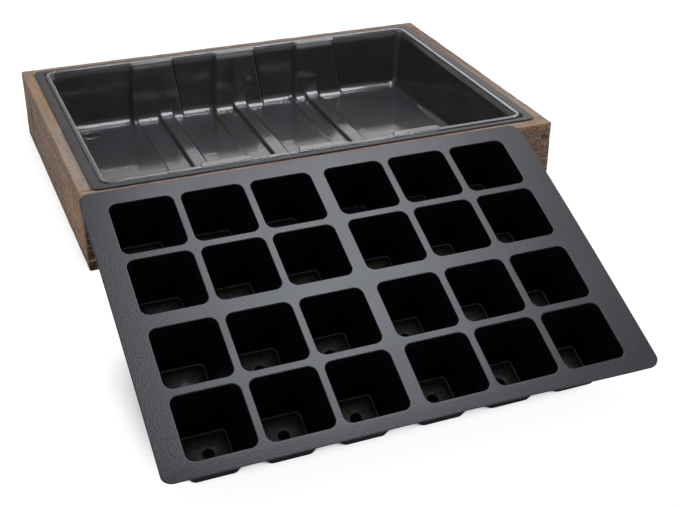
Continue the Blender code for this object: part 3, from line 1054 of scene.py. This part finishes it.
def cellLoops(tile):
    # one cell with the plate round it, from the tile's edge to the edge of the drain hole
    s = insertSizes
    wide = s["mouthMargin"]
    levels = [(s["mouth"] + 2 * wide, s["mouthRadius"] + wide, 0.0), *cellProfile()]
    loops = [[(*tileEdge(x, y, tile), 0.0) for x, y in roundedSquare(s["mouth"], s["mouthRadius"])]]
    loops += [[(x, y, z) for x, y in roundedSquare(size, radius)] for size, radius, z in levels]
    for radius, rise in s["holeRings"]:
        loops.append([(x, y, rise - s["depth"]) for x, y in roundHole(radius)])
    return loops


def plateEdge(inset, halfX, halfY, alongX, alongY):
    # points round the plate, each side's straight points at the places where the tiles have theirs
    radius = insertSizes["cornerRadius"]
    sides = (
        [(halfX - inset, y) for y in alongY], [(x, halfY - inset) for x in reversed(alongX)],
        [(inset - halfX, y) for y in reversed(alongY)], [(x, inset - halfY) for x in alongX],
    )
    points = []
    for quarter, (signX, signY) in enumerate(cornerSigns):
        points += sides[quarter]
        points += arcRound(signX * (halfX - radius), signY * (halfY - radius), radius - inset, quarter,
                           insertSizes["cornerSteps"])
    return points


def ringFaces(bm, outer, inner):
    for step, vert in enumerate(outer):
        following = (step + 1) % len(outer)
        bm.faces.new((vert, outer[following], inner[following], inner[step]))


def tileSides(bm, limitX, limitY):
    # the vertices on the outside of the laid-out tiles: right, back, left and front side
    sides = []
    for axis, sign, limit in ((0, 1, limitX), (1, 1, limitY), (0, -1, limitX), (1, -1, limitY)):
        side = [v for v in bm.verts if sign * v.co[axis] > limit - 0.01 * mm]
        onward = -sign if axis else sign
        sides.append(sorted(side, key=lambda v: onward * v.co[1 - axis]))
    return sides


def addPlateRim(bm, halfX, halfY, limitX, limitY):
    # the plate beyond the tiles, its edge bent down a little
    s = insertSizes
    sides = tileSides(bm, limitX, limitY)
    alongY = [v.co.y / mm for v in sides[0]]
    alongX = [v.co.x / mm for v in sides[3]]
    edge = s["edgeRound"]
    loops = []
    bend = [(edge * (1 - sine), -edge * rest) for sine, rest in quarterTurn(4)]
    for inset, z in [(edge + 0.5, 0.0), *bend]:
        outline = plateEdge(inset, halfX, halfY, alongX, alongY)
        loops.append([bm.verts.new((x * mm, y * mm, z * mm)) for x, y in outline])
    for inner, outer in zip(loops, loops[1:]):
        ringFaces(bm, outer, inner)
    place = 0
    ring = loops[0]
    for side in sides:
        for vert, following in zip(side, side[1:]):
            bm.faces.new((ring[place], ring[place + 1], following, vert))
            place += 1
        for _ in range(s["cornerSteps"] + 2):
            bm.faces.new((ring[place], ring[(place + 1) % len(ring)], side[-1]))
            place += 1


def layOutCells(bm, columns, rows, limitX, limitY):
    # every cell, with the plate round it as far as halfway to the next one
    xEdges = [-limitX] + [(a + b) / 2 for a, b in zip(columns, columns[1:])] + [limitX]
    yEdges = [-limitY] + [(a + b) / 2 for a, b in zip(rows, rows[1:])] + [limitY]
    dustAndHighlight = bm.verts.layers.float.new("dustAndHighlight")
    dustAndHighlightShares = insertSizes["dustAndHighlightShares"]
    for (column, x), (row, y) in product(enumerate(columns), enumerate(rows)):
        tile = (xEdges[column] - x, xEdges[column + 1] - x, yEdges[row] - y, yEdges[row + 1] - y)
        loops = [[bm.verts.new(((x + px) * mm, (y + py) * mm, pz * mm)) for px, py, pz in loop]
                 for loop in cellLoops(tile)]
        for loop, share in zip(loops[-len(dustAndHighlightShares):], dustAndHighlightShares):
            for vert in loop:
                vert[dustAndHighlight] = share
        for outer, inner in zip(loops, loops[1:]):
            ringFaces(bm, outer, inner)
    bmesh.ops.remove_doubles(bm, verts=bm.verts, dist=0.02 * mm)


def bendPlate(bm, halfX, halfY, limitX, limitY):
    # bows the plate, and moves what isn't square in it
    s = insertSizes
    leftTrim, rightTrim = s["frontTrim"]
    trimFrom = s["trimFrom"]
    for vert in bm.verts:
        # the cells sit off the plate's middle, its ends don't
        outside = max(0.0, abs(vert.co.x) / mm - limitX) / (halfX - limitX)
        vert.co.x -= s["cellsShiftLeft"] * mm * (1 - min(1.0, outside))
        vert.co.z -= s["bow"] * mm * (vert.co.y / (halfY * mm)) ** 2
        inFront = max(0.0, -vert.co.y / mm - limitY) / (halfY - limitY)
        along = smoothStep((vert.co.x / mm - trimFrom) / (halfX - trimFrom))
        trim = leftTrim + (rightTrim - leftTrim) * along
        toCorner = max(0.0, vert.co.x / mm / halfX) * ((1 - vert.co.y / mm / halfY) / 2) ** 3
        vert.co.y += trim * mm * min(1.0, inFront)
        vert.co.x += s["cornerStretch"] * mm * toCorner


def standInsert(piece):
    # tilted, its lowest cells on the ground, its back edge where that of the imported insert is
    low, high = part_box("cell_insert")
    piece.data.transform(Matrix.Rotation(math.radians(insertSizes["tilt"]), 4, "X"))
    lowest = min(vert.co.z for vert in piece.data.vertices)
    backmost = max(vert.co.y for vert in piece.data.vertices)
    place = Vector((frameCentre.x - insertSizes["shiftLeft"] * mm, high.y - backmost, low.z - lowest))
    piece.data.transform(Matrix.Translation(place))


def buildInsert():
    s = insertSizes
    columns = cellPlaces(s["columns"], s["middleColumn"])
    rows = cellPlaces(s["rows"], s["middleRow"])
    limitX = columns[-1] + s["mouth"] / 2 + s["tileMargin"]
    limitY = rows[-1] + s["mouth"] / 2 + s["tileMargin"]
    halfX = limitX - s["tileMargin"] + s["endMargin"]
    halfY = limitY - s["tileMargin"] + s["sideMargin"]
    bm = bmesh.new()
    layOutCells(bm, columns, rows, limitX, limitY)
    addPlateRim(bm, halfX, halfY, limitX * mm, limitY * mm)
    for face in bm.faces:
        face.material_index = int(face.calc_center_median().z < -s["cellsFrom"] * s["lip"] * mm)
    bendPlate(bm, halfX, halfY, limitX, limitY)
    piece = meshPiece("cellInsertFormed", [], [])
    bm.to_mesh(piece.data)
    bm.free()
    piece.data.shade_smooth()
    for name, finish in insertFinishes.items():
        piece.data.materials.append(blackStyrene(name, {**insertLook, **finish}))
    thicken(piece, s["thickness"], 2)
    standInsert(piece)
    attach(piece, "cell_insert")
    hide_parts("cell_insert")


buildInsert()
print("cell insert formed")
